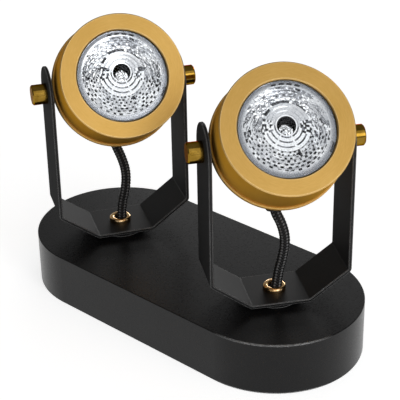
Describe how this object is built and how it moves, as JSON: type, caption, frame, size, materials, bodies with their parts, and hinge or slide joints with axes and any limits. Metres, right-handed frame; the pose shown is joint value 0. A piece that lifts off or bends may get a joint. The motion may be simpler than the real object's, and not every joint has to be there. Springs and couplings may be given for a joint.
{
  "type": "twin spotlight",
  "caption": "Spotlight with drum heads on tilting, turning U-shaped yokes over an obround base box, with braided cords and clamp knobs.",
  "frame": {"origin": "middle of the base's underside, the face that goes against the wall, ceiling or shelf", "axes": "+X along the base, +Z out of the wall and away from the base, -Y the side that the picture shows as the front"},
  "size_m": [0.22, 0.1018, 0.1696],
  "materials": {
    "satin_black_paint": "satin black powder coat",
    "satin_gold": "satin brass-coloured lacquer over turned aluminium",
    "polished_brass": "polished brass",
    "zinc_steel": "bright zinc plating",
    "white_ceramic": "unglazed steatite",
    "lamp_clear_glass": "clear pressed glass",
    "reflector_silver": "silvered facets",
    "black_rubber": "matt",
    "black_braid": "braided textile sleeve",
    "cream_plastic": "moulded",
    "black_plastic": "moulded",
    "nickel_plate": "nickel plated",
    "brown_insulation": "extruded",
    "blue_insulation": "extruded",
    "green_insulation": "extruded"
  },
  "bodies": {
    "base": {"canopy_shell": "satin_black_paint", "shell_clips": "zinc_steel", "mounting_plate": "zinc_steel", "inlet_bush": "black_rubber", "terminal_block": "cream_plastic", "terminal_inserts": "polished_brass", "terminal_screws": "zinc_steel", "block_screws": "zinc_steel", "earth_screw": "zinc_steel", "earth_washer": "zinc_steel", "side_screws": "satin_black_paint", "live_leads": "brown_insulation", "neutral_leads": "blue_insulation", "earth_leads": "green_insulation", "left_swivel_disc": "satin_black_paint", "left_nipple": "zinc_steel", "left_tooth_washer": "zinc_steel", "left_lock_nut": "zinc_steel", "left_cable_ring": "polished_brass", "right_swivel_disc": "satin_black_paint", "right_nipple": "zinc_steel", "right_tooth_washer": "zinc_steel", "right_lock_nut": "zinc_steel", "right_cable_ring": "polished_brass"},
    "left_bracket": {"left_yoke": "satin_black_paint", "left_cord": "black_braid"},
    "left_head": {"left_front_drum": "satin_gold", "left_rear_housing": "satin_gold", "left_pivot_washers": "black_plastic", "left_cord_gland": "black_rubber", "left_lamp_glass": "lamp_clear_glass", "left_lamp_reflector": "reflector_silver", "left_lamp_capsule": "lamp_clear_glass", "left_lamp_base": "black_plastic", "left_lamp_pins": "nickel_plate", "left_lampholder": "white_ceramic", "left_holder_screws": "zinc_steel"},
    "left_knob_left": {"left_knob_left": "polished_brass"},
    "left_knob_right": {"left_knob_right": "polished_brass"},
    "right_bracket": {"right_yoke": "satin_black_paint", "right_cord": "black_braid"},
    "right_head": {"right_front_drum": "satin_gold", "right_rear_housing": "satin_gold", "right_pivot_washers": "black_plastic", "right_cord_gland": "black_rubber", "right_lamp_glass": "lamp_clear_glass", "right_lamp_reflector": "reflector_silver", "right_lamp_capsule": "lamp_clear_glass", "right_lamp_base": "black_plastic", "right_lamp_pins": "nickel_plate", "right_lampholder": "white_ceramic", "right_holder_screws": "zinc_steel"},
    "right_knob_left": {"right_knob_left": "polished_brass"},
    "right_knob_right": {"right_knob_right": "polished_brass"}
  },
  "joints": [
    {"name": "left_pan", "type": "hinge", "parent": "base", "child": "left_bracket", "pos_m": [-0.06, 0, 0.035], "axis": [0, 0, 1], "range_deg": [-170, 170]},
    {"name": "left_tilt", "type": "hinge", "parent": "left_bracket", "child": "left_head", "pos_m": [-0.06, 0, 0.1233], "axis": [-0.5225, -0.8526, 0], "range_deg": [-32, 58], "deforming": ["left_cord"]},
    {"name": "left_knob_left_turn", "type": "hinge", "parent": "left_head", "child": "left_knob_left", "pos_m": [-0.08048, -0.03342, 0.1233], "axis": [-0.5225, -0.8526, 0], "range_deg": [0, 180]},
    {"name": "left_knob_right_turn", "type": "hinge", "parent": "left_head", "child": "left_knob_right", "pos_m": [-0.03952, 0.03342, 0.1233], "axis": [0.5225, 0.8526, 0], "range_deg": [0, 180]},
    {"name": "right_pan", "type": "hinge", "parent": "base", "child": "right_bracket", "pos_m": [0.06, 0, 0.035], "axis": [0, 0, 1], "range_deg": [-170, 170]},
    {"name": "right_tilt", "type": "hinge", "parent": "right_bracket", "child": "right_head", "pos_m": [0.06, 0, 0.1233], "axis": [-0.5906, -0.807, 0], "range_deg": [-40, 50], "deforming": ["right_cord"]},
    {"name": "right_knob_left_turn", "type": "hinge", "parent": "right_head", "child": "right_knob_left", "pos_m": [0.03685, -0.03163, 0.1233], "axis": [-0.5906, -0.807, 0], "range_deg": [0, 180]},
    {"name": "right_knob_right_turn", "type": "hinge", "parent": "right_head", "child": "right_knob_right", "pos_m": [0.08315, 0.03163, 0.1233], "axis": [0.5906, 0.807, 0], "range_deg": [0, 180]}
  ]
}
